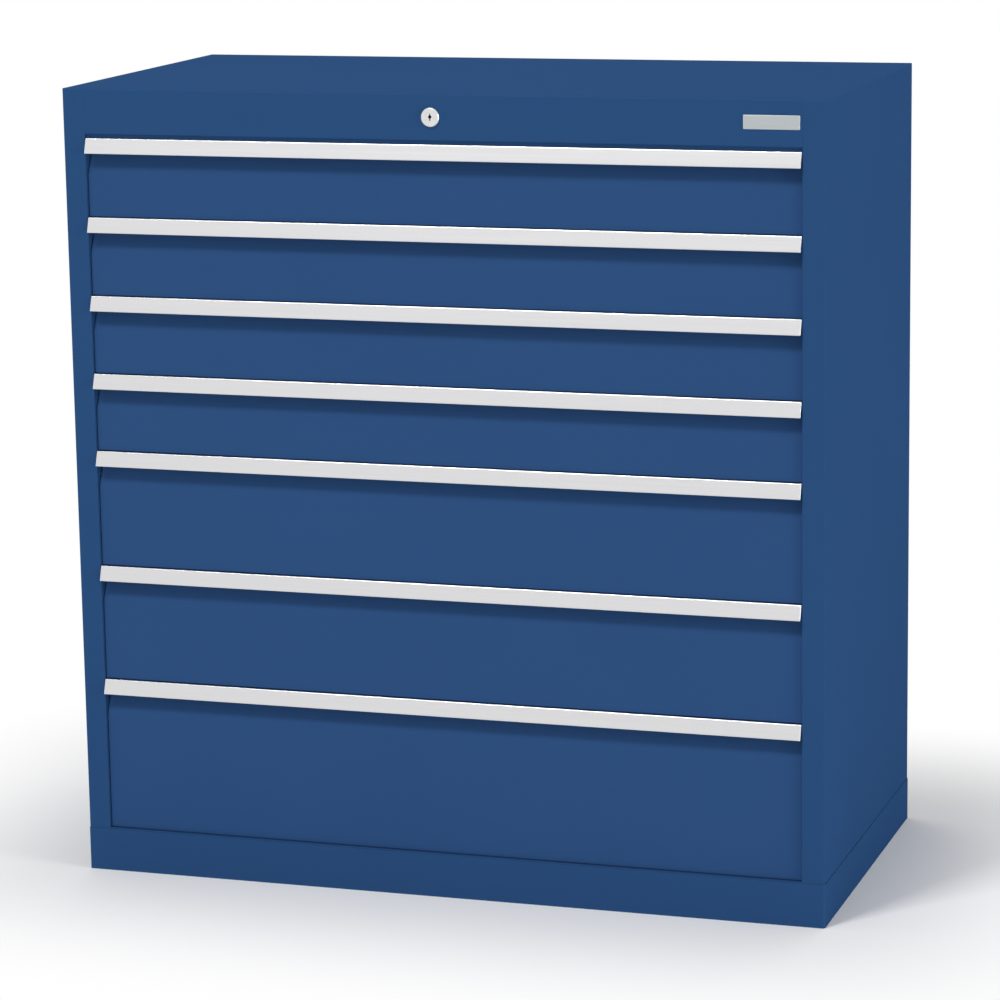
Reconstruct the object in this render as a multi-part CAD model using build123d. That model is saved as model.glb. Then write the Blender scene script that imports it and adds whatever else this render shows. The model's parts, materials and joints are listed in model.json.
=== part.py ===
from build123d import *
import os
from math import atan2, cos, hypot, radians, sin, tan

# Floor-standing drawer cabinet in folded sheet steel, with seven full-width drawers
# on telescopic runners and one lock that blocks them all.
# Millimetres. X runs across, Y from the front to the back, Z up from the floor.
# The origin is the middle of the overall outline at floor level.

# Casing
width = 980.0
depth = 500.0
casing_sheet = 1.5
casing_bend = 1.2
stile_width = 28.5
stile_return = 20.0
stile_bend = 0.5
rear_flange = 20.0
base_height = 57.0
rail_height = 57.0
rail_return = 20.0
rail_foot = 4.0
rail_lip = 4.9
plinth_sheet = 1.5
plinth_step = 1.0
plinth_flange = 30.0
plinth_corner = 3.0
anchor_hole_radius = 5.5
anchor_inset_x = 60.0
top_edge_radius = 1.0

# Drawers, from the top one down
drawer_heights = [100.0, 100.0, 100.0, 100.0, 150.0, 150.0, 200.0]
top_gap = 5.0
front_gap = 0.6
side_gap = 0.6
face_setback = 4.5
front_sheet = 1.5
front_bend = 1.2
front_edge = 0.8
pan_depth = 23.5
pan_flange = 40.0
recess_depth = 11.5
recess_slope = 26.0
recess_bend = 18.0

# Handle profile
lip_height = 19.0
lip_lean = 6.5
lip_reach = 6.0
lip_hem = 5.0
handle_wall = 2.0
handle_bend = 0.8
handle_leg = 22.0
handle_end_gap = 1.0

# Trays
tray_sheet = 1.0
tray_lift = 5.0
tray_drop = 23.0
tray_hem = 10.0
rear_space = 65.0
slot_width = 2.2
slot_pitch = 50.0
slot_margin = 12.0

# Telescopic runners
runner_thickness = 12.7
runner_height = 45.6
runner_lift = 26.0
runner_setback = 0.5
runner_tail = 10.0
travel_short = 4.0
outer_steel = 1.4
inner_steel = 1.2
ball_space = 2.6
ball_play = 0.15
web_space = 1.5
flange_play = 2.2
cage_width = 4.0
cage_thickness = 0.9
cage_margin = 8.0
balls_per_cage = 5

# Uprights
upright_width = 40.0
upright_sheet = 1.5
upright_setback = 0.2
upright_rear_inset = 10.0
upright_slot_width = 4.0
upright_slot_height = 14.0
upright_slot_pitch = 25.0

# Lock
lock_x = -2.4
rosette_radius = 11.7
rosette_proud = 3.0
rosette_chamfer = 0.8
barrel_radius = 9.5
barrel_length = 22.0
nut_size = 26.0
nut_thickness = 4.0
plug_radius = 6.5
plug_play = 0.05
plug_recess = 0.4
plug_tail = 2.0
keyway_width = 1.3
keyway_height = 9.0
keyway_depth = 14.0
keyway_hub_radius = 2.1
keyway_hub_lift = 0.6
cam_thickness = 2.5
cam_hub_radius = 8.5
cam_tip_radius = 5.0
pin_throw = 7.0
pin_radius = 2.5
pin_overhang = 2.0
cam_screw_radius = 3.6
cam_screw_head = 2.0

# Locking gate
gate_steel = 3.0
gate_space = 4.5
beam_height = 22.0
bar_width = 20.0
bar_clear_side = 4.5
gate_foot_gap = 0.3
slot_play = 0.45
hook_height = 10.0
hook_lift = 57.0
hook_clear_side = 3.0
lug_width = 8.0
lug_height = 6.0
lug_thickness = 3.0
lug_rise = 2.0
lug_clear = 1.5
guide_steel = 1.5
guide_height = 15.0
guide_play = 0.3
guide_overlap = 16.0
guide_heights = [150.0, 520.0, 890.0]

# Plate on the top rail
plate_width = 69.2
plate_height = 17.0
plate_thickness = 1.0
plate_end_gap = 2.8
plate_rise = 1.0
plate_corner = 1.0

# Fasteners
screw_radius = 2.5
screw_head_radius = 4.5
screw_head_height = 2.5
screw_nut_size = 8.0
screw_nut_height = 2.5
screw_play = 0.15
screw_inset = 25.5
screw_margin = 15.0
rivet_radius = 2.0
rivet_head_radius = 4.0
rivet_head_height = 0.9
rivet_play = 0.1
handle_rivets = 5
handle_rivet_margin = 60.0
handle_rivet_drop = 10.0
back_rivets_per_side = 6
back_rivet_margin = 60.0

# Places worked out from these sizes
stack_height = sum(drawer_heights)
opening_top = base_height + stack_height + top_gap
height = opening_top + rail_height
front = (lip_reach - depth - plinth_step) / 2
back = front + depth
opening_half = width / 2 - stile_width
face = front + face_setback
tray_front = face + pan_depth
tray_rear = back - 2 * casing_sheet - rear_space
tray_half = opening_half + upright_setback - runner_thickness
front_half = opening_half - side_gap
lip_angle = atan2(lip_height, lip_lean)
lip_foot = front - lip_reach - handle_bend * (1 / tan(lip_angle / 2) - 1)
runner_front = tray_front + runner_setback
runner_rear = tray_rear + runner_tail
travel = tray_rear - tray_front - travel_short
lock_height = (opening_top + height) / 2
gate_lift = 2 * pin_throw * sin(radians(45))
cam_back = front + barrel_length + plug_tail + cam_thickness
gate_front = cam_back + gate_space
gate_back = gate_front + gate_steel
bar_outer = width / 2 - casing_sheet - bar_clear_side
bar_inner = bar_outer - bar_width


def block(x0, x1, y0, y1, z0, z1):
    """A box between the given limits."""
    middle = Pos((x0 + x1) / 2, (y0 + y1) / 2, (z0 + z1) / 2)
    return middle * Box(x1 - x0, y1 - y0, z1 - z0)


def both_sides(shape):
    """The shape and its mirror image on the other side of the cabinet."""
    return [shape, mirror(shape, about=Plane.YZ)]


def rod_y(x, z, y0, y1, radius):
    """A round bar along Y."""
    return Pos(x, (y0 + y1) / 2, z) * Rot(90, 0, 0) * Cylinder(radius, y1 - y0)


def save(node, shapes):
    """Write one sub-part, each piece in it as its own solid."""
    solids = [solid for shape in shapes for solid in shape.solids()]
    export_step(Compound(solids), os.path.join("parts", node + ".step"))


def offset_right(path, distance):
    """The points of an open path, moved to its right with mitred corners."""
    normals = []
    for (ax, ay), (bx, by) in zip(path, path[1:]):
        length = hypot(bx - ax, by - ay)
        normals.append(((by - ay) / length, (ax - bx) / length))
    moved = []
    for index, (x, y) in enumerate(path):
        nx, ny = normals[max(index - 1, 0)]
        mx, my = normals[min(index, len(normals) - 1)]
        share = distance / (1 + nx * mx + ny * my)
        moved.append((x + (nx + mx) * share, y + (ny + my) * share))
    return moved


def turns_right(path, index):
    """True where the path turns to its right at this point."""
    (ax, ay), (bx, by), (cx, cy) = path[index - 1:index + 2]
    return (bx - ax) * (cy - by) - (by - ay) * (cx - bx) < 0


def round_corner(section, point, radius):
    """Round the corner of a section that lies nearest to a point."""
    if radius < 0.05:
        return section
    corner = section.vertices().sort_by_distance(Vector(*point))[0]
    return fillet(corner, radius)


def folded(path, sheet, bends):
    """Section of a folded sheet: the path is its outer face, with the metal to its right."""
    inside = offset_right(path, sheet)
    section = Sketch() + Polygon(*path, *reversed(inside))
    for index, bend in enumerate(bends, 1):
        small = max(bend - sheet, 0)
        right = turns_right(path, index)
        section = round_corner(section, path[index], bend if right else small)
        section = round_corner(section, inside[index], small if right else bend)
    return section


def along_z(section, z0, z1):
    """Extrude a section drawn in X and Y."""
    return extrude(Pos(0, 0, z0) * section, z1 - z0, dir=(0, 0, 1))


def along_x(section, x0, x1):
    """Extrude a section drawn in Y and Z."""
    return extrude(Plane.YZ.offset(x0) * section, x1 - x0, dir=(1, 0, 0))


def spread(count, low, high):
    """Evenly spaced places from low to high."""
    return [low + (high - low) * index / (count - 1) for index in range(count)]


def centred(pitch, low, high):
    """Places at a pitch, centred between two limits."""
    count = int((high - low) // pitch) + 1
    middle = (low + high) / 2
    return [middle + (index - (count - 1) / 2) * pitch for index in range(count)]


def module_floors():
    """Height of the bottom of each drawer's space, from the top drawer down."""
    floors = []
    level = base_height + stack_height
    for drawer in drawer_heights:
        level -= drawer
        floors.append(level)
    return floors


def back_rivet_places():
    """Places of the back panel's rivets on the right-hand side."""
    x = width / 2 - casing_sheet - rear_flange / 2
    low = base_height + back_rivet_margin
    high = height - casing_sheet - back_rivet_margin
    return [(x, z) for z in spread(back_rivets_per_side, low, high)]


def side_panel():
    """Left side, folded round at the front into the stile and at the back into a flange."""
    path = [
        (-opening_half, front + stile_return),
        (-opening_half, front),
        (-width / 2, front),
        (-width / 2, back),
        (-width / 2 + rear_flange, back),
    ]
    section = folded(path, casing_sheet, [stile_bend, casing_bend, casing_bend])
    panel = along_z(section, base_height, height - casing_sheet)
    holes = [
        rod_y(-x, z, back - 2 * casing_sheet, back + casing_sheet, rivet_radius + rivet_play)
        for x, z in back_rivet_places()
    ]
    return panel - holes


def flat_panel(z0, z1):
    """A full-size horizontal sheet with the casing's rounded upright corners."""
    panel = block(-width / 2, width / 2, front, back, z0, z1)
    return fillet(panel.edges().filter_by(Axis.Z), casing_bend)


def top_panel():
    panel = flat_panel(height - casing_sheet, height)
    return fillet(panel.faces().sort_by(Axis.Z)[-1].edges(), top_edge_radius)


def back_panel():
    """Flat sheet riveted inside the rear flanges."""
    half = width / 2 - casing_sheet
    rear = back - casing_sheet
    panel = block(-half, half, rear - casing_sheet, rear, base_height, height - casing_sheet)
    holes = []
    for x, z in back_rivet_places():
        hole = rod_y(x, z, rear - 2 * casing_sheet, rear + casing_sheet, rivet_radius + rivet_play)
        holes += both_sides(hole)
    return panel - holes


def back_rivets():
    """Blind rivets through the rear flanges and the back panel."""
    rivets = []
    for x, z in back_rivet_places():
        shank = rod_y(x, z, back - 2 * casing_sheet, back, rivet_radius)
        head = rod_y(x, z, back, back + rivet_head_height, rivet_head_radius)
        tail_end = back - 2 * casing_sheet
        tail = rod_y(x, z, tail_end - rivet_head_height, tail_end, rivet_head_radius)
        rivets += both_sides(shank + head + tail)
    return rivets


def top_rail():
    """Front rail over the drawers: a channel open to the back, with a lip turned down behind
    the top handle. Its upper edge is ground flush under the top panel."""
    path = [
        (front + rail_foot, opening_top - rail_lip),
        (front + rail_foot, opening_top),
        (front, opening_top),
        (front, height - casing_sheet),
        (front + rail_return, height - casing_sheet),
    ]
    section = folded(path, casing_sheet, [casing_bend, casing_bend, 0])
    rail = along_x(section, -opening_half, opening_half)
    hole = rod_y(
        lock_x, lock_height, front - casing_sheet, front + 2 * casing_sheet, barrel_radius
    )
    return rail - hole


def plinth_frame():
    """Plinth of four mitred channels, open inwards and drilled for floor anchors."""
    half = width / 2 + plinth_step
    y0 = front - plinth_step
    y1 = back + plinth_step
    top = base_height - casing_sheet
    outside = block(-half, half, y0, y1, 0, top)
    outside = fillet(outside.edges().filter_by(Axis.Z), plinth_corner)
    hollow = block(
        -half + plinth_sheet, half - plinth_sheet, y0 + plinth_sheet, y1 - plinth_sheet,
        plinth_sheet, top - plinth_sheet,
    )
    window = block(
        -half + plinth_flange, half - plinth_flange, y0 + plinth_flange, y1 - plinth_flange,
        -plinth_sheet, top + plinth_sheet,
    )
    holes = [
        Pos(x, y, plinth_sheet / 2) * Cylinder(anchor_hole_radius, 2 * plinth_sheet)
        for x in (-anchor_x(), anchor_x())
        for y in (y0 + plinth_flange / 2, y1 - plinth_flange / 2)
    ]
    ring = outside - hollow - window - holes
    corner_x = half + plinth_sheet
    side = y1 - y0 + 2 * plinth_sheet
    middle_y = (y0 + y1) / 2
    near = y0 - plinth_sheet
    left_wedge = Polygon((-corner_x, near), (side / 2 - corner_x, middle_y), (-corner_x, near + side))
    left = ring & along_z(left_wedge, -plinth_sheet, base_height)
    front_half_space = block(-corner_x, corner_x, near, middle_y, -plinth_sheet, base_height)
    across = ring - left - mirror(left, about=Plane.YZ)
    return [*both_sides(left), across & front_half_space, across - front_half_space]


def anchor_x():
    """Distance of the anchor holes from the middle."""
    return width / 2 - anchor_inset_x


def upright(y0):
    """Slotted channel that stands off the side panel and carries the runners."""
    web = opening_half + upright_setback
    wall = width / 2 - casing_sheet
    y1 = y0 + upright_width
    path = [(wall, y0), (web, y0), (web, y1), (wall, y1)]
    section = folded(path, upright_sheet, [upright_sheet] * 2)
    channel = along_z(section, base_height, height - casing_sheet)
    middle = (y0 + y1) / 2
    slots = [
        block(
            web - upright_sheet, web + 2 * upright_sheet,
            middle - upright_slot_width / 2, middle + upright_slot_width / 2,
            z - upright_slot_height / 2, z + upright_slot_height / 2,
        )
        for z in centred(upright_slot_pitch, base_height + upright_width, opening_top)
    ]
    return channel - Compound(slots)


def uprights():
    front_upright = upright(gate_back + guide_play)
    rear_upright = upright(runner_rear - upright_rear_inset - upright_width)
    return both_sides(front_upright) + both_sides(rear_upright)


def channel(x0, x1, y0, y1, z, tall, steel, web_outside):
    """A runner member: a channel along Y with its web at x1 (outside) or x0 (inside)."""
    solid = block(x0, x1, y0, y1, z - tall / 2, z + tall / 2)
    low = z - tall / 2 + steel
    high = z + tall / 2 - steel
    if web_outside:
        return solid - block(x0 - steel, x1 - steel, y0 - steel, y1 + steel, low, high)
    return solid - block(x0 + steel, x1 + steel, y0 - steel, y1 + steel, low, high)


def middle_height():
    return runner_height - 2 * outer_steel - 2 * ball_space


def inner_height():
    return middle_height() - 2 * inner_steel - 2 * ball_space


def middle_web():
    """Outer face of the middle member's web, on the right-hand side."""
    return tray_half + runner_thickness - outer_steel - web_space


def cabinet_runner(z):
    x0 = tray_half + flange_play
    x1 = tray_half + runner_thickness
    return channel(x0, x1, runner_front, runner_rear, z, runner_height, outer_steel, True)


def middle_runner(z):
    x0 = tray_half + flange_play
    x1 = middle_web()
    return channel(x0, x1, runner_front, runner_rear, z, middle_height(), inner_steel, True)


def drawer_runner(z):
    x1 = middle_web() - inner_steel - flange_play
    return channel(
        tray_half, x1, runner_front, runner_rear, z, inner_height(), inner_steel, False
    )


def ball_cage(x, z, y0, y1):
    """A strip with its row of balls, between the races of two runner members."""
    cage = block(
        x - cage_width / 2, x + cage_width / 2, y0, y1,
        z - cage_thickness / 2, z + cage_thickness / 2,
    )
    for y in spread(balls_per_cage, y0 + cage_margin, y1 - cage_margin):
        cage += Pos(x, y, z) * Sphere(ball_space / 2 - ball_play)
    return cage


def ball_cages(z):
    """The four cages of one runner, where all its positions keep them between races."""
    half_travel = travel / 2
    rear = (runner_front + half_travel + cage_margin, runner_rear - cage_margin)
    ahead = (runner_front + cage_margin, runner_rear - half_travel - cage_margin)
    outer_x = (tray_half + flange_play + middle_web()) / 2
    inner_x = (tray_half + flange_play + middle_web() - inner_steel - flange_play) / 2
    outer_z = (runner_height / 2 - outer_steel + middle_height() / 2) / 2
    inner_z = (middle_height() / 2 - inner_steel + inner_height() / 2) / 2
    cages = []
    for sign in (-1, 1):
        cages.append(ball_cage(outer_x, z + sign * outer_z, *rear))
        cages.append(ball_cage(inner_x, z + sign * inner_z, *ahead))
    return cages


def tray_side(floor, rim):
    """Right-hand wall of a tray with its hem at the rim."""
    inside = tray_half - tray_sheet
    y0 = tray_front + tray_sheet
    y1 = tray_rear - tray_sheet
    wall = block(inside, tray_half, tray_front, tray_rear, floor, rim)
    wall += block(inside - tray_sheet, inside, y0, y1, rim - tray_hem, rim)
    slits = [
        block(
            inside - tray_sheet, tray_half + tray_sheet,
            y - slot_width / 2, y + slot_width / 2,
            floor + slot_margin, rim - tray_hem - slot_margin / 2,
        )
        for y in centred(slot_pitch, y0 + slot_margin, y1 - slot_margin)
    ]
    return wall - Compound(slits)


def tray_end(floor, rim, outer, inward):
    """Front or rear wall of a tray between its sides, with its hem on the inner face."""
    half = tray_half - tray_sheet
    inner = outer + inward * tray_sheet
    hem = inner + inward * tray_sheet
    wall = block(-half, half, min(outer, inner), max(outer, inner), floor, rim)
    wall += block(
        -half + tray_sheet, half - tray_sheet, min(inner, hem), max(inner, hem),
        rim - tray_hem, rim,
    )
    slits = [
        block(
            x - slot_width / 2, x + slot_width / 2, outer - 2 * tray_sheet, outer + 2 * tray_sheet,
            floor + slot_margin, rim - tray_hem - slot_margin / 2,
        )
        for x in centred(slot_pitch, -half + slot_margin, half - slot_margin)
    ]
    return wall - Compound(slits)


def tray(drawer):
    """Open tray on a module floor at Z 0: its floor, four slotted walls butted at the corners,
    and a catch lug on each side."""
    floor = tray_lift
    rim = drawer - tray_drop
    inside = tray_half - tray_sheet
    plate = block(
        -inside, inside, tray_front + tray_sheet, tray_rear - tray_sheet, floor, floor + tray_sheet
    )
    holes = [
        rod_y(x, z, tray_front - tray_sheet, tray_front + 3 * tray_sheet, screw_radius + screw_play)
        for x, z in front_screw_places(drawer)
    ]
    front_wall = tray_end(floor, rim, tray_front, 1) - holes
    rear_wall = tray_end(floor, rim, tray_rear, -1)
    lug_y = gate_back + lug_clear
    lug_z = hook_lift + hook_height + lug_rise
    lug = block(
        tray_half, tray_half + lug_width, lug_y, lug_y + lug_thickness, lug_z, lug_z + lug_height
    )
    return [plate, front_wall, rear_wall, *both_sides(tray_side(floor, rim)), *both_sides(lug)]


def front_screw_places(drawer):
    """Places of the screws that hold a front to its tray."""
    x = front_half - screw_inset - front_sheet
    low = tray_lift + tray_sheet + screw_margin
    high = drawer - tray_drop - tray_hem - screw_margin / 2
    return [(side * x, z) for side in (-1, 1) for z in (low, high)]


def front_pan(drawer):
    """Drawer front: a pan with a finger recess along its top, on a module floor at Z 0."""
    low = front_gap / 2
    top = drawer - front_gap / 2
    recess = face + recess_depth
    pan_back = face + pan_depth
    slope_end = top - lip_height
    path = [
        (pan_back, low),
        (face, low),
        (face, slope_end - recess_slope),
        (recess, slope_end),
        (recess, top - handle_wall),
    ]
    inside = offset_right(path, front_sheet)
    outer = Sketch() + Polygon(*path, (pan_back, top - handle_wall))
    outer = round_corner(outer, path[1], front_bend)
    outer = round_corner(outer, path[2], recess_bend)
    outer = round_corner(outer, path[3], recess_bend - front_sheet)
    beyond = pan_back + front_sheet
    above = top + handle_wall
    start = (beyond, inside[0][1])
    end = (inside[-1][0], above)
    cavity = Sketch() + Polygon(start, *inside[1:-1], end, (beyond, above))
    cavity = round_corner(cavity, inside[1], front_bend - front_sheet)
    cavity = round_corner(cavity, inside[2], recess_bend - front_sheet)
    cavity = round_corner(cavity, inside[3], recess_bend)
    pan = along_x(outer, -front_half, front_half)
    for end in (Axis.X, -Axis.X):
        rim = pan.faces().sort_by(end)[-1].edges()
        seen = [edge for edge in rim if edge.center().Y < pan_back - front_sheet
                and edge.center().Z < top - handle_wall - front_sheet]
        pan = fillet(seen, front_edge)
    pan -= along_x(cavity, -front_half + front_sheet, front_half - front_sheet)
    flange = block(
        front_half - front_sheet - pan_flange, front_half - front_sheet,
        pan_back - front_sheet, pan_back, low + front_sheet, top - handle_leg - handle_wall,
    )
    pan += both_sides(flange)
    notch = block(
        front_half - 2 * front_sheet, front_half + front_sheet, recess + front_sheet, beyond,
        top - handle_leg - handle_wall, above,
    )
    pan -= both_sides(notch)
    holes = [
        rod_y(x, z, pan_back - 2 * front_sheet, pan_back + front_sheet, screw_radius + screw_play)
        for x, z in front_screw_places(drawer)
    ]
    holes += [
        rod_y(x, z, recess - front_sheet, recess + 2 * front_sheet, rivet_radius + rivet_play)
        for x, z in handle_rivet_places(top)
    ]
    return pan - holes


def handle_rivet_places(top):
    """Places of the rivets that hold a handle inside its front's recess."""
    reach = front_half - handle_rivet_margin
    return [(x, top - handle_rivet_drop) for x in spread(handle_rivets, -reach, reach)]


def handle(drawer):
    """Handle profile: a leaning lip, a web over the front's top edge and a leg behind it."""
    top = drawer - front_gap / 2
    leg_back = face + recess_depth + front_sheet + handle_wall
    path = [
        (lip_foot + lip_hem, top - lip_height),
        (lip_foot, top - lip_height),
        (lip_foot + lip_lean, top),
        (leg_back, top),
        (leg_back, top - handle_leg),
    ]
    section = folded(path, handle_wall, [handle_bend] * 3)
    half = opening_half - handle_end_gap
    holes = [
        rod_y(x, z, leg_back - 2 * handle_wall, leg_back + handle_wall, rivet_radius + rivet_play)
        for x, z in handle_rivet_places(top)
    ]
    return along_x(section, -half, half) - holes


def front_fasteners(drawer):
    """Screws and nuts between front and tray, and the handle's rivets."""
    top = drawer - front_gap / 2
    inner_wall = tray_front + tray_sheet
    flange = tray_front - front_sheet
    pieces = []
    for x, z in front_screw_places(drawer):
        shank = rod_y(x, z, flange - screw_nut_height, inner_wall, screw_radius)
        head = rod_y(x, z, inner_wall, inner_wall + screw_head_height, screw_head_radius)
        head = fillet(head.faces().sort_by(Axis.Y)[-1].edges(), screw_head_height / 2)
        nut_section = RegularPolygon(screw_nut_size / 2, 6, major_radius=False)
        nut = extrude(Plane.XZ.offset(-flange) * Pos(x, z) * nut_section, screw_nut_height)
        nut -= rod_y(x, z, flange - 2 * screw_nut_height, flange, screw_radius)
        pieces += [shank + head, nut]
    recess = face + recess_depth
    leg_back = recess + front_sheet + handle_wall
    for x, z in handle_rivet_places(top):
        shank = rod_y(x, z, recess, leg_back, rivet_radius)
        head = rod_y(x, z, recess - rivet_head_height, recess, rivet_head_radius)
        tail = rod_y(x, z, leg_back, leg_back + rivet_head_height, rivet_head_radius)
        pieces.append(shank + head + tail)
    return pieces


def lock_barrel():
    """Rosette and barrel in one piece, with its hexagon nut behind the rail."""
    rosette = rod_y(lock_x, lock_height, front - rosette_proud, front, rosette_radius)
    rosette = chamfer(rosette.faces().sort_by(Axis.Y)[0].edges(), rosette_chamfer)
    barrel = rod_y(lock_x, lock_height, front, front + barrel_length, barrel_radius)
    bore = rod_y(
        lock_x, lock_height, front - 2 * rosette_proud, front + 2 * barrel_length,
        plug_radius + plug_play,
    )
    seat = front + casing_sheet
    nut_section = RegularPolygon(nut_size / 2, 6, major_radius=False)
    nut_plane = Plane.XZ.offset(-seat - nut_thickness) * Pos(lock_x, lock_height)
    nut = extrude(nut_plane * nut_section, nut_thickness)
    nut -= rod_y(
        lock_x, lock_height, seat - nut_thickness, seat + 2 * nut_thickness, barrel_radius
    )
    return [rosette + barrel - bore, nut]


def lock_cylinder():
    """The plug that the key turns, with its keyway."""
    face_y = front - rosette_proud + plug_recess
    plug = rod_y(lock_x, lock_height, face_y, front + barrel_length + plug_tail, plug_radius)
    blade = block(
        lock_x - keyway_width / 2, lock_x + keyway_width / 2,
        face_y - plug_recess, face_y + keyway_depth,
        lock_height - keyway_height / 2, lock_height + keyway_height / 2,
    )
    hub_z = lock_height + keyway_hub_lift
    hub = rod_y(lock_x, hub_z, face_y - plug_recess, face_y + keyway_depth, keyway_hub_radius)
    return plug - blade - hub


def lock_cam():
    """Cam on the plug's tail, whose pin lifts the gate, and the screw that holds it."""
    pin_x = lock_x + pin_throw * cos(radians(45))
    pin_z = lock_height - pin_throw * sin(radians(45))
    cam_front = cam_back - cam_thickness
    hub = rod_y(lock_x, lock_height, cam_front, cam_back, cam_hub_radius)
    tip = rod_y(pin_x, pin_z, cam_front, cam_back, cam_tip_radius)
    pin = rod_y(pin_x, pin_z, cam_back, gate_back + pin_overhang, pin_radius)
    screw = rod_y(lock_x, lock_height, cam_back, cam_back + cam_screw_head, cam_screw_radius)
    screw -= hub
    return [hub + tip + pin, screw]


def lock_beam():
    """Cross beam of the locking gate, with the slot for the cam's pin."""
    pin_x = lock_x + pin_throw * cos(radians(45))
    pin_z = lock_height - pin_throw * sin(radians(45))
    beam = block(
        -bar_outer, bar_outer, gate_front, gate_back,
        pin_z - beam_height / 2, pin_z + beam_height / 2,
    )
    reach = pin_radius + slot_play
    return beam - block(
        pin_x - reach, lock_x + pin_throw + reach, gate_front - gate_steel, gate_back + gate_steel,
        pin_z - reach, pin_z + reach,
    )


def lock_bar():
    """Right-hand bar of the gate, with a hook for each drawer."""
    beam_bottom = lock_height - pin_throw * sin(radians(45)) - beam_height / 2
    foot = base_height + gate_foot_gap
    bar = block(bar_inner, bar_outer, gate_front, gate_back, foot, beam_bottom)
    for floor in module_floors():
        hook_low = floor + hook_lift
        bar += block(
            tray_half + hook_clear_side, bar_inner, gate_front, gate_back,
            hook_low, hook_low + hook_height,
        )
    return bar


def lock_guides():
    """Angles on the side panels that keep the bars against the front uprights."""
    wall = width / 2 - casing_sheet
    stop = gate_front - guide_play
    guides = []
    for z in guide_heights:
        foot = block(
            wall - guide_steel, wall, front + stile_return, stop,
            z - guide_height / 2, z + guide_height / 2,
        )
        plate = block(
            wall - guide_overlap, wall, stop - guide_steel, stop,
            z - guide_height / 2, z + guide_height / 2,
        )
        guides += both_sides(foot + plate)
    return guides


def name_plate():
    """Bare plate at the right end of the top rail."""
    right = opening_half - plate_end_gap
    middle = lock_height + plate_rise
    plate = block(
        right - plate_width, right, front - plate_thickness, front,
        middle - plate_height / 2, middle + plate_height / 2,
    )
    return fillet(plate.edges().filter_by(Axis.Y), plate_corner)


def build_casing():
    save("side_panel_left", [side_panel()])
    save("side_panel_right", [mirror(side_panel(), about=Plane.YZ)])
    save("back_panel", [back_panel()])
    save("back_rivets", back_rivets())
    save("top_panel", [top_panel()])
    save("top_rail", [top_rail()])
    save("base_panel", [flat_panel(base_height - casing_sheet, base_height)])
    save("plinth_frame", plinth_frame())
    save("uprights", uprights())
    save("name_plate", [name_plate()])
    right = [cabinet_runner(floor + runner_lift + tray_lift) for floor in module_floors()]
    save("cabinet_runners_right", right)
    save("cabinet_runners_left", [mirror(runner, about=Plane.YZ) for runner in right])


def build_lock():
    save("lock_barrel", lock_barrel())
    save("lock_cylinder", [lock_cylinder()])
    save("lock_cam", lock_cam())
    save("lock_beam", [lock_beam()])
    save("lock_bars", both_sides(lock_bar()))
    save("lock_guides", lock_guides())


def build_drawers():
    shapes = {}
    for drawer in set(drawer_heights):
        shapes[drawer] = (tray(drawer), front_pan(drawer), handle(drawer), front_fasteners(drawer))
    runner_z = runner_lift + tray_lift
    inner = both_sides(drawer_runner(runner_z))
    middle = []
    for member in [middle_runner(runner_z), *ball_cages(runner_z)]:
        middle += both_sides(member)
    for number, (drawer, floor) in enumerate(zip(drawer_heights, module_floors()), 1):
        place = Pos(0, 0, floor)
        plates, pan, profile, fasteners = shapes[drawer]
        save(f"drawer_{number}_tray", [place * plate for plate in plates])
        save(f"drawer_{number}_front", [place * pan])
        save(f"drawer_{number}_handle", [place * profile])
        save(f"drawer_{number}_fasteners", [place * piece for piece in fasteners])
        save(f"drawer_{number}_runners", [place * piece for piece in inner])
        save(f"middle_runners_{number}", [place * piece for piece in middle])


os.makedirs("parts", exist_ok=True)
build_casing()
build_lock()
build_drawers()
print("height", height, "front", front, "back", back, "travel", travel, "gate lift", gate_lift)
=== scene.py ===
# %% [markdown]
# # A workshop drawer cabinet, dressed for a studio photograph
#
# The cabinet is folded sheet steel with a blue powder coat, seven drawers with satin
# aluminium handle strips, a nickel lock and a bare plate. Its shapes are already made, to
# scale, in a CAD model. This lesson gives each surface the finish that its real process
# leaves, with a painted highlight along its edges, adds the wafers inside the lock, darkened
# as painted shade of the keyway, and sets up the light and the camera.

# %% Load the cabinet and note its size
import json
from math import cos, radians, sin

import bmesh
import bpy
from mathutils import Matrix, Vector


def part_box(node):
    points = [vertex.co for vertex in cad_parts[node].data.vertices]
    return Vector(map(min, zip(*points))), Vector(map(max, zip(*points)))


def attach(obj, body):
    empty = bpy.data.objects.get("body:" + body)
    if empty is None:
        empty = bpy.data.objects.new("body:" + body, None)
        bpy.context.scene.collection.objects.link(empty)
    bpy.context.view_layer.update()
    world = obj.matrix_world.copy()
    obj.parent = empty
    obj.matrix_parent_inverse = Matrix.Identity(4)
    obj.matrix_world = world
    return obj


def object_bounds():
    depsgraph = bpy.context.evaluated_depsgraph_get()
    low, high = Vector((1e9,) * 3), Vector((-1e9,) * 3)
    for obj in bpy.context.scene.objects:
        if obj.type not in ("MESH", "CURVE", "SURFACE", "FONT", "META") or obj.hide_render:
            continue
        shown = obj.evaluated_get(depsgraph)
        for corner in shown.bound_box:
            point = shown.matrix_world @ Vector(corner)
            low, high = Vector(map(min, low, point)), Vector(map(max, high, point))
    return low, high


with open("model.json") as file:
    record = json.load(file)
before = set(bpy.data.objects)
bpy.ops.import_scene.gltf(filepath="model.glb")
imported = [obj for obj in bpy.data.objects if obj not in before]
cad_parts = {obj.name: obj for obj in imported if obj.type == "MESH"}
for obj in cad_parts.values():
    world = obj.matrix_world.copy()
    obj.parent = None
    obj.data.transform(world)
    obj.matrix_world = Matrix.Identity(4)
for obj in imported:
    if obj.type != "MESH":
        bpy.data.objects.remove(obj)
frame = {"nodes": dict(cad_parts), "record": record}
scene = bpy.context.scene
cad_box = [list(corner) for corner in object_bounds()]
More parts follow.
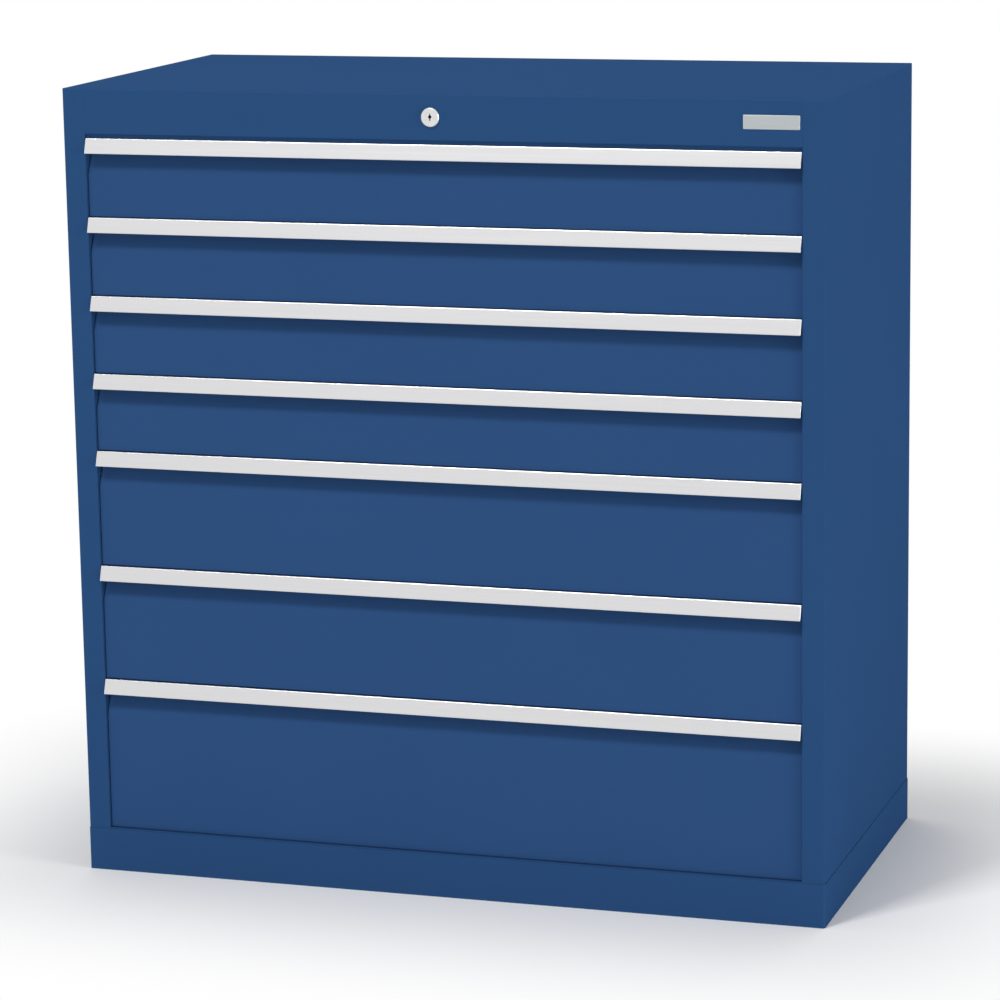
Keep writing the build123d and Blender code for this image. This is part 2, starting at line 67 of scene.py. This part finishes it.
low, high = (Vector(corner) for corner in cad_box)
print("parts:", len(frame["nodes"]), "size in mm:", [round(v * 1000) for v in high - low])

# %% [markdown]
# ## Real sizes and colours
#
# A pattern looks right only at its real size, so sizes are written in millimetres and
# turned into Blender's metres in one place. Colours are written as on screen, in hex, while
# Blender's shaders add up light, which is linear. One function does that conversion, so no
# colour is guessed twice.

# %% Millimetres and colours
MM = 0.001


def per_mm(size):
    """Texture scale that gives features of this size, in millimetres."""
    return 1 / (size * MM)


def colour(code):
    """Linear colour of an sRGB hex code such as "#2A4C78"."""
    parts = [int(code[place:place + 2], 16) / 255 for place in (1, 3, 5)]
    light = [p / 12.92 if p <= 0.04045 else ((p + 0.055) / 1.055) ** 2.4 for p in parts]
    return (*light, 1)


print("gentian blue in linear light:", [round(v, 3) for v in colour("#2A4C78")[:3]])

# %% [markdown]
# ## One helper for shader nodes
#
# A finish is a small graph of nodes. Each node needs the same three things: its own
# settings, numbers on its sockets, and links from other nodes. One helper takes all three,
# which keeps every material below short enough to read as a recipe.

# %% Add one node
def add(tree, kind, settings=None, values=None, links=None):
    """Add a shader node with its settings, socket values and incoming links."""
    made = tree.nodes.new(kind)
    for name, value in (settings or {}).items():
        setattr(made, name, value)
    for socket, value in (values or {}).items():
        made.inputs[socket].default_value = value
    for socket, source in (links or {}).items():
        tree.links.new(source, made.inputs[socket])
    return made


def new_material(name):
    """An empty node material, and its tree."""
    made = bpy.data.materials.new(name)
    made.use_nodes = True
    made.node_tree.nodes.clear()
    return made, made.node_tree


def finish_surface(tree, surface):
    """Send a surface shader to the material's output."""
    add(tree, "ShaderNodeOutputMaterial", links={"Surface": surface.outputs[0]})


print("node helper ready")

# %% [markdown]
# ## Edges catch the light
#
# No real edge is a mathematical corner. The Bevel node rounds edges in the shading alone,
# which leaves the exact CAD shapes untouched. Comparing its rounded normal with the true one
# also says where the edges are, and there each finish is mixed with a paler colour: a painted
# highlight for the thin line of light that a rounded edge catches.

# %% Find the edges
BEVEL_SAMPLES = 4
FLAT_AGREEMENT = 1
EDGE_AGREEMENT = 0.85


def find_edges(tree, radius):
    """Normal rounded at edges of this radius in millimetres, and a mask of those edges."""
    rounded = add(tree, "ShaderNodeBevel", {"samples": BEVEL_SAMPLES}, {"Radius": radius * MM})
    surface = add(tree, "ShaderNodeNewGeometry")
    agreement = add(tree, "ShaderNodeVectorMath", {"operation": "DOT_PRODUCT"},
                    links={0: rounded.outputs[0], 1: surface.outputs["Normal"]})
    mask = add(tree, "ShaderNodeMapRange",
               values={"From Min": FLAT_AGREEMENT, "From Max": EDGE_AGREEMENT},
               links={"Value": agreement.outputs["Value"]})
    return rounded.outputs[0], mask.outputs[0]


def paint_edge_highlight(tree, body, highlight_code, mask):
    """Paint a highlight: mix a body colour with a paler one at the edges."""
    # The paler colour is a painted highlight, the light that a rounded edge catches.
    return add(tree, "ShaderNodeMix", {"data_type": "RGBA"}, {7: colour(highlight_code)},
               {0: mask, 6: body})


print("edge finder ready")

# %% [markdown]
# ## Powder coat
#
# The steel is sprayed with dry blue powder and baked. The powder melts into a film about
# 0.08 mm thick that rounds every sheet edge, leaves a faint orange peel a couple of
# millimetres wide, and varies a little in depth of colour across a panel. The peel is a
# bump and not real geometry, because it is only hundredths of a millimetre deep. A
# fine-textured coat stays matt even at a low angle, so its mirror layer is nearly off.

# %% Powder-coated steel
COAT_PEEL = 2.2
COAT_GRAIN = 0.9
COAT_CLOUD = 260
COAT_EDGE = 0.6
COAT_SHEEN = 0.005
COAT_SPREAD = 0.05
PEEL_DEPTH = 0.02


def powder_coat(name, pale, deep, edge, roughness):
    """Baked powder film: clouds of colour, fine grain and orange peel, with paler edges as a
    painted highlight.
    """
    made, tree = new_material(name)
    place = add(tree, "ShaderNodeTexCoord").outputs["Object"]
    cloud = add(tree, "ShaderNodeTexNoise", values={"Scale": per_mm(COAT_CLOUD), "Detail": 2},
                links={"Vector": place})
    film = add(tree, "ShaderNodeMix", {"data_type": "RGBA"}, {6: colour(deep), 7: colour(pale)},
               {0: cloud.outputs[0]})
    grain = add(tree, "ShaderNodeTexNoise", values={"Scale": per_mm(COAT_GRAIN), "Detail": 2},
                links={"Vector": place})
    gloss = add(tree, "ShaderNodeMapRange",
                values={"To Min": roughness - COAT_SPREAD, "To Max": roughness + COAT_SPREAD},
                links={"Value": grain.outputs[0]})
    peel = add(tree, "ShaderNodeTexNoise", values={"Scale": per_mm(COAT_PEEL), "Detail": 1},
               links={"Vector": place})
    rounded, mask = find_edges(tree, COAT_EDGE)
    # Paler edge colour: a painted highlight where a rounded edge catches light.
    tone = paint_edge_highlight(tree, film.outputs[2], edge, mask)
    relief = add(tree, "ShaderNodeBump", values={"Strength": 1, "Distance": PEEL_DEPTH * MM},
                 links={"Height": peel.outputs[0], "Normal": rounded})
    surface = add(tree, "ShaderNodeBsdfPrincipled",
                  values={"Metallic": 0, "IOR": 1.5, "Specular IOR Level": COAT_SHEEN},
                  links={"Base Color": tone.outputs[2], "Roughness": gloss.outputs[0],
                         "Normal": relief.outputs[0]})
    finish_surface(tree, surface)
    return made


# The third colour of each coat is its painted edge highlight.
blue_casing = powder_coat("Powder coat gentian blue, casing", "#2A4C78", "#284974", "#3A6092",
                          0.85)
blue_front = powder_coat("Powder coat gentian blue, fronts", "#2E4E7B", "#2C4B78", "#3A6092",
                         0.85)
grey_tray = powder_coat("Powder coat light grey, trays", "#C6C8C5", "#C0C2BF", "#D2D3D1", 0.5)
print("powder coats:", blue_casing.name, "|", blue_front.name, "|", grey_tray.name)

# %% [markdown]
# ## Anodised aluminium handle strips
#
# The handle is an extruded profile, anodised in its natural silver. Pulling the metal
# through the die leaves very fine lines along its length, and the etching before the
# anodising bath makes them satin. The lines are a noise stretched along the strip. Real die
# lines are under 0.1 mm apart, so they are drawn at 0.8 mm, the finest that a view of the
# whole cabinet can show.

# %% Satin aluminium with lines along the strip
DIE_LINE = 0.8
DIE_LENGTH = 300
DIE_EDGE = 0.9
DIE_SPREAD = 0.06
BRUSH_LINE = 0.7
BRUSH_LENGTH = 40
METAL_RELIEF = 0.004


def drawn_aluminium(name, pale, deep, edge, roughness, line, length):
    """Satin metal with fine lines along X, of this width and length in millimetres."""
    made, tree = new_material(name)
    place = add(tree, "ShaderNodeTexCoord").outputs["Object"]
    stretch = add(tree, "ShaderNodeMapping",
                  values={"Scale": (per_mm(length), per_mm(line), per_mm(line))},
                  links={"Vector": place})
    lines = add(tree, "ShaderNodeTexNoise", values={"Scale": 1, "Detail": 3},
                links={"Vector": stretch.outputs[0]})
    tone = add(tree, "ShaderNodeMix", {"data_type": "RGBA"}, {6: colour(deep), 7: colour(pale)},
               {0: lines.outputs[0]})
    gloss = add(tree, "ShaderNodeMapRange",
                values={"To Min": roughness - DIE_SPREAD, "To Max": roughness + DIE_SPREAD},
                links={"Value": lines.outputs[0]})
    rounded, mask = find_edges(tree, DIE_EDGE)
    # Paler edge colour: a painted highlight where a rounded edge catches light.
    edge_highlight_tone = paint_edge_highlight(tree, tone.outputs[2], edge, mask)
    relief = add(tree, "ShaderNodeBump", values={"Strength": 1, "Distance": METAL_RELIEF * MM},
                 links={"Height": lines.outputs[0], "Normal": rounded})
    surface = add(tree, "ShaderNodeBsdfPrincipled", values={"Metallic": 1},
                  links={"Base Color": edge_highlight_tone.outputs[2], "Roughness": gloss.outputs[0],
                         "Normal": relief.outputs[0]})
    finish_surface(tree, surface)
    return made


# The third colour of each metal is its painted edge highlight.
strip_aluminium = drawn_aluminium("Anodised aluminium, satin natural", "#DADADB", "#D4D4D6",
                                  "#E6E8EC", 0.22, DIE_LINE, DIE_LENGTH)
plate_aluminium = drawn_aluminium("Brushed aluminium, lacquered plate", "#C2C8CA", "#AEB4B7",
                                  "#C8CED0", 0.36, BRUSH_LINE, BRUSH_LENGTH)
print("aluminium:", strip_aluminium.name, "|", plate_aluminium.name)

# %% [markdown]
# ## Nickel-plated lock
#
# The rosette and the plug are turned from brass and nickel plated. Turning leaves rings
# round the lock's own axis, so the pattern is driven by the distance from that axis. The
# real feed marks are about 0.05 mm apart and are drawn at 0.9 mm, faintly, so that they
# catch the light as a ring pattern and don't flicker.

# %% Turned nickel with rings round the lock's axis
LOCK_AXIS = Vector((-2.4, 0, 990.5)) * MM
TURNING_RING = 0.9
LOCK_EDGE = 0.3


def turned_nickel(name, pale, deep, roughness):
    """Nickel plate over turned brass, with rings round the lock's axis."""
    made, tree = new_material(name)
    place = add(tree, "ShaderNodeTexCoord").outputs["Object"]
    flat = add(tree, "ShaderNodeVectorMath", {"operation": "MULTIPLY_ADD"},
               {1: (1, 0, 1), 2: -LOCK_AXIS}, {0: place})
    radius = add(tree, "ShaderNodeVectorMath", {"operation": "LENGTH"},
                 links={0: flat.outputs[0]})
    turns = add(tree, "ShaderNodeMath", {"operation": "MULTIPLY"}, {1: per_mm(TURNING_RING)},
                {0: radius.outputs["Value"]})
    ring = add(tree, "ShaderNodeTexNoise", {"noise_dimensions": "1D"}, {"Scale": 1, "Detail": 2},
               {"W": turns.outputs[0]})
    tone = add(tree, "ShaderNodeMix", {"data_type": "RGBA"}, {6: colour(deep), 7: colour(pale)},
               {0: ring.outputs[0]})
    edge = add(tree, "ShaderNodeBevel", {"samples": BEVEL_SAMPLES}, {"Radius": LOCK_EDGE * MM})
    relief = add(tree, "ShaderNodeBump", values={"Strength": 1, "Distance": METAL_RELIEF * MM},
                 links={"Height": ring.outputs[0], "Normal": edge.outputs[0]})
    surface = add(tree, "ShaderNodeBsdfPrincipled",
                  values={"Metallic": 1, "Roughness": roughness},
                  links={"Base Color": tone.outputs[2], "Normal": relief.outputs[0]})
    finish_surface(tree, surface)
    return made


lock_nickel = turned_nickel("Satin nickel, turned", "#E4E5E3", "#D8D9D8", 0.34)
print("lock:", lock_nickel.name)

# %% [markdown]
# ## Zinc-plated steel inside
#
# Runners, uprights and the locking gate are bright zinc plated. Zinc is a touch bluer than
# aluminium and shows soft patches a couple of centimetres wide where the bath left the
# layer thicker. Rivets and screws are the same metal without visible patches, with fine
# marks from the press that set them.

# %% Zinc plating and plain fasteners
ZINC_PATCH = 22
ZINC_SPREAD = 0.08
FASTENER_MARK = 1.5


def zinc_plate(name, pale, deep, patch, roughness):
    """Plated steel with soft patches of this size in millimetres."""
    made, tree = new_material(name)
    place = add(tree, "ShaderNodeTexCoord").outputs["Object"]
    patches = add(tree, "ShaderNodeTexNoise", values={"Scale": per_mm(patch), "Detail": 4},
                  links={"Vector": place})
    tone = add(tree, "ShaderNodeMix", {"data_type": "RGBA"}, {6: colour(deep), 7: colour(pale)},
               {0: patches.outputs[0]})
    gloss = add(tree, "ShaderNodeMapRange",
                values={"To Min": roughness - ZINC_SPREAD, "To Max": roughness + ZINC_SPREAD},
                links={"Value": patches.outputs[0]})
    surface = add(tree, "ShaderNodeBsdfPrincipled", values={"Metallic": 1},
                  links={"Base Color": tone.outputs[2], "Roughness": gloss.outputs[0]})
    finish_surface(tree, surface)
    return made


zinc_steel = zinc_plate("Bright zinc-plated steel", "#C9CED2", "#AEB4BA", ZINC_PATCH, 0.36)
fastener_steel = zinc_plate("Zinc-plated fasteners", "#C4C8CB", "#A9ADB1", FASTENER_MARK, 0.4)
print("zinc:", zinc_steel.name, "|", fastener_steel.name)

# %% [markdown]
# ## Which finish goes where
#
# The CAD record already groups the parts by the slot of their finish. Reading that grouping
# back is safer than typing sixty names, and a part that has no finish stops the script at
# once instead of showing up grey in the picture.

# %% Dress every CAD part
finish_of_slot = {
    "casing_paint": blue_casing,
    "drawer_paint": blue_front,
    "tray_paint": grey_tray,
    "anodised_aluminium": strip_aluminium,
    "plate_aluminium": plate_aluminium,
    "lock_chrome": lock_nickel,
    "zinc_steel": zinc_steel,
    "rivet_steel": fastener_steel,
}
dressed = {}
for entry in frame["record"]["subparts"]:
    part = frame["nodes"][entry["node"]]
    chosen = finish_of_slot[entry["material_slot"]]
    for slot in part.material_slots:
        slot.link = "OBJECT"
        slot.material = chosen
    dressed[chosen.name] = dressed.get(chosen.name, 0) + 1
for name, count in dressed.items():
    print(count, "parts in", name)

# %% [markdown]
# ## Wafers in the keyway
#
# Looking into the lock, a key's slot is closed a millimetre behind the face by the wafers
# that the key must lift. They are given a near-black colour as painted shade, so that the
# keyway reads as the dark slot that its depth makes. The piece is cut to the outline of the
# keyway, with a wider round middle, and stepped back wafer by wafer.

# %% Build the wafers as one mesh
WAFER_STEPS = [0.9, 1.9, 2.9]
WAFER_THICKNESS = 0.8
KEYWAY_HALF_WIDTH = 0.65
KEYWAY_HALF_HEIGHT = 4.5
KEYWAY_HUB = 2.1
KEYWAY_HUB_LIFT = 0.6
HUB_SWEEP = radians(70)
HUB_POINTS = 10
WAFER_PLAY = 0.06
WAFER_STAGGER = 0.08
WAFER_MARK = 1.2


def wafer_outline(half_width, half_height, hub, hub_lift):
    """Outline of the keyway in X and Z, in millimetres, round its middle."""
    outline = [(half_width, -half_height), (half_width, hub_lift - hub)]
    for step in range(HUB_POINTS):
        angle = HUB_SWEEP * (2 * step / (HUB_POINTS - 1) - 1)
        outline.append((hub * cos(angle), hub_lift + hub * sin(angle)))
    outline += [(half_width, hub_lift + hub), (half_width, half_height)]
    return outline + [(-x, z) for x, z in reversed(outline)]


def build_wafers(name, face_y):
    """Stepped plugs that close the keyway, one behind another."""
    shape = bmesh.new()
    for number, depth in enumerate(WAFER_STEPS):
        shrink = WAFER_PLAY + WAFER_STAGGER * (number % 2)
        outline = wafer_outline(KEYWAY_HALF_WIDTH - shrink, KEYWAY_HALF_HEIGHT - shrink,
                                KEYWAY_HUB - shrink, KEYWAY_HUB_LIFT)
        rings = []
        for y in (depth, depth + WAFER_THICKNESS):
            rings.append([
                shape.verts.new((LOCK_AXIS.x + x * MM, face_y + y * MM, LOCK_AXIS.z + z * MM))
                for x, z in outline
            ])
        shape.faces.new(rings[0])
        shape.faces.new(list(reversed(rings[1])))
        for here in range(len(outline)):
            after = (here + 1) % len(outline)
            shape.faces.new((rings[0][here], rings[1][here], rings[1][after], rings[0][after]))
    bmesh.ops.recalc_face_normals(shape, faces=shape.faces)
    mesh = bpy.data.meshes.new(name)
    shape.to_mesh(mesh)
    shape.free()
    made = bpy.data.objects.new(name, mesh)
    scene.collection.objects.link(made)
    return made


# Painted shade: the wafers are real, but their near-black colour stands in for the shade deep in
# the keyway.
wafer_painted_shade = zinc_plate("Wafers near black, painted keyway shade", "#1B1C1E", "#101113", WAFER_MARK, 0.5)
plug_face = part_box("lock_cylinder")[0].y
wafers = build_wafers("keyway_wafers", plug_face)
wafers.data.materials.append(wafer_painted_shade)
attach(wafers, "lock_plug")
print("wafers:", len(wafers.data.vertices), "points, first one",
      WAFER_STEPS[0], "mm behind the plug's face")

# %% [markdown]
# ## Floor and backdrop
#
# The photograph shows the cabinet cut out on white. A pale floor catches a soft shadow, so
# the cabinet stands on something, and turns to plain white further out. The white comes
# from the floor's own shader for camera and mirror rays, never from stronger lamps, so the
# light on the cabinet stays plain.

# %% Pale floor that fades to white
FLOOR_REACH = 24
FLOOR_SEGMENTS = 96
FLOOR_CLOUD = 400
FADE_START = 0.03
FADE_END = 0.5


def studio_floor(name):
    """Matt pale floor that turns to plain white away from the cabinet."""
    made, tree = new_material(name)
    place = add(tree, "ShaderNodeTexCoord").outputs["Object"]
    folded = add(tree, "ShaderNodeVectorMath", {"operation": "ABSOLUTE"}, links={0: place})
    beyond = add(tree, "ShaderNodeVectorMath", {"operation": "SUBTRACT"}, {1: (high.x, high.y, 0)},
                 {0: folded.outputs[0]})
    outside = add(tree, "ShaderNodeVectorMath", {"operation": "MAXIMUM"}, {1: (0, 0, 0)},
                  {0: beyond.outputs[0]})
    away = add(tree, "ShaderNodeVectorMath", {"operation": "LENGTH"}, links={0: outside.outputs[0]})
    fade = add(tree, "ShaderNodeMapRange", {"interpolation_type": "SMOOTHSTEP"},
               {"From Min": FADE_START, "From Max": FADE_END},
               {"Value": away.outputs["Value"]})
    rays = add(tree, "ShaderNodeLightPath")
    seen = add(tree, "ShaderNodeMath", {"operation": "MAXIMUM"},
               links={0: rays.outputs["Is Camera Ray"], 1: rays.outputs["Is Glossy Ray"]})
    share = add(tree, "ShaderNodeMath", {"operation": "MULTIPLY"},
                links={0: fade.outputs[0], 1: seen.outputs[0]})
    grain = add(tree, "ShaderNodeTexNoise", values={"Scale": per_mm(FLOOR_CLOUD), "Detail": 2},
                links={"Vector": place})
    tone = add(tree, "ShaderNodeMix", {"data_type": "RGBA"},
               {6: colour("#F8F8F8"), 7: colour("#FBFBFB")}, {0: grain.outputs[0]})
    matt = add(tree, "ShaderNodeBsdfDiffuse", links={"Color": tone.outputs[2]})
    white = add(tree, "ShaderNodeEmission", values={"Color": (1, 1, 1, 1), "Strength": 1})
    both = add(tree, "ShaderNodeMixShader",
               links={0: share.outputs[0], 1: matt.outputs[0], 2: white.outputs[0]})
    finish_surface(tree, both)
    return made


disc = bmesh.new()
bmesh.ops.create_circle(disc, cap_ends=True, segments=FLOOR_SEGMENTS, radius=FLOOR_REACH)
floor_mesh = bpy.data.meshes.new("studio_floor")
disc.to_mesh(floor_mesh)
disc.free()
floor = bpy.data.objects.new("studio_floor", floor_mesh)
floor.data.materials.append(studio_floor("Matt studio floor"))
scene.collection.objects.link(floor)
print("floor:", FLOOR_REACH, "m in radius, white from", FADE_END, "m beyond the cabinet")

# %% [markdown]
# ## Soft, even light
#
# The photograph is lit from all round: front, side and top have almost the same blue, and
# only the recess under each strip is dark. An even white sky and the pale floor do half of
# that. The key lamp, high in front and to the left, throws the short shadow under each strip
# and the soft one along each front's left edge. A large low lamp in front fills these
# shadows and is hidden from mirror rays, since the metal would show it as a white blot. A
# lamp on the right lights the side panel alone, and an overhead lamp the top.

# %% Sky and four lamps
SKY = 0.35
AIM = Vector((0, -0.25, 0.5))
KEY_POWER = 240
FILL_POWER = 56
SIDE_POWER = 125
TOP_POWER = 95

sky = bpy.data.worlds.new("White studio sky")
sky.use_nodes = True
sky.node_tree.nodes.clear()
rays = add(sky.node_tree, "ShaderNodeLightPath")
mirror = add(sky.node_tree, "ShaderNodeMath", {"operation": "MAXIMUM"},
             links={0: rays.outputs["Is Glossy Ray"], 1: rays.outputs["Is Transmission Ray"]})
seen = add(sky.node_tree, "ShaderNodeMath", {"operation": "MAXIMUM"},
           links={0: rays.outputs["Is Camera Ray"], 1: mirror.outputs[0]})
power = add(sky.node_tree, "ShaderNodeMapRange", values={"To Min": SKY, "To Max": 1},
            links={"Value": seen.outputs[0]})
glow = add(sky.node_tree, "ShaderNodeBackground", values={"Color": (1, 1, 1, 1)},
           links={"Strength": power.outputs[0]})
add(sky.node_tree, "ShaderNodeOutputWorld", links={"Surface": glow.outputs[0]})
scene.world = sky


def add_lamp(name, place, size, power, mirrored=True):
    """A square area lamp that shines at the middle of the fronts."""
    data = bpy.data.lights.new(name, "AREA")
    data.size = size
    data.energy = power
    lamp = bpy.data.objects.new(name, data)
    lamp.location = place
    lamp.visible_glossy = mirrored
    lamp.rotation_mode = "QUATERNION"
    lamp.rotation_quaternion = (AIM - lamp.location).to_track_quat("-Z", "Y")
    scene.collection.objects.link(lamp)
    return lamp


add_lamp("key_lamp", (-2.1, -4.4, 6.8), 1.6, KEY_POWER)
add_lamp("front_fill_lamp", (-0.9, -5.6, 0.7), 2.4, FILL_POWER, mirrored=False)
add_lamp("side_lamp", (5.4, -1.4, 1.2), 2.2, SIDE_POWER)
add_lamp("overhead_lamp", (0, 0.6, 6.0), 2.4, TOP_POWER)
print("sky", SKY, "and lamps of", KEY_POWER, FILL_POWER, SIDE_POWER, TOP_POWER, "W")

# %% [markdown]
# ## The camera of the photograph
#
# The vanishing lines of the seven strips, the top and the side fix where the camera stood:
# to the right of the cabinet, a little over its top, looking down and to the left through a
# long lens. The position and the three angles below were solved from the corners of the
# casing, and the matrix is built from them directly, so no target object is needed.

# %% Place the camera
CAMERA_PLACE = Vector((1483.6, -4598.3, 1452.5)) * MM
YAW, PITCH, ROLL = radians(17.89), radians(-11.544), radians(-0.875)
LENS = 135.9
SENSOR_WIDTH = 36
FARTHEST_SEEN = 100

ahead = Vector((-sin(YAW) * cos(PITCH), cos(YAW) * cos(PITCH), sin(PITCH)))
right = Vector((cos(YAW), sin(YAW), 0))
up = right.cross(ahead)
tilted_right = cos(ROLL) * right + sin(ROLL) * up
tilted_up = cos(ROLL) * up - sin(ROLL) * right
turn = Matrix((tilted_right, tilted_up, -ahead)).transposed()
camera_data = bpy.data.cameras.new("photo_camera")
camera_data.sensor_width = SENSOR_WIDTH
camera_data.lens = LENS
camera_data.clip_end = FARTHEST_SEEN
camera = bpy.data.objects.new("photo_camera", camera_data)
camera.matrix_world = Matrix.Translation(CAMERA_PLACE) @ turn.to_4x4()
scene.collection.objects.link(camera)
scene.camera = camera
print("camera", [round(v, 3) for v in camera.location], "lens", LENS, "mm")

# %% [markdown]
# ## Colour management
#
# The Standard view shows a colour about as it was written, which a catalogue picture needs.

# %% Set the view transform
scene.view_settings.view_transform = "Standard"
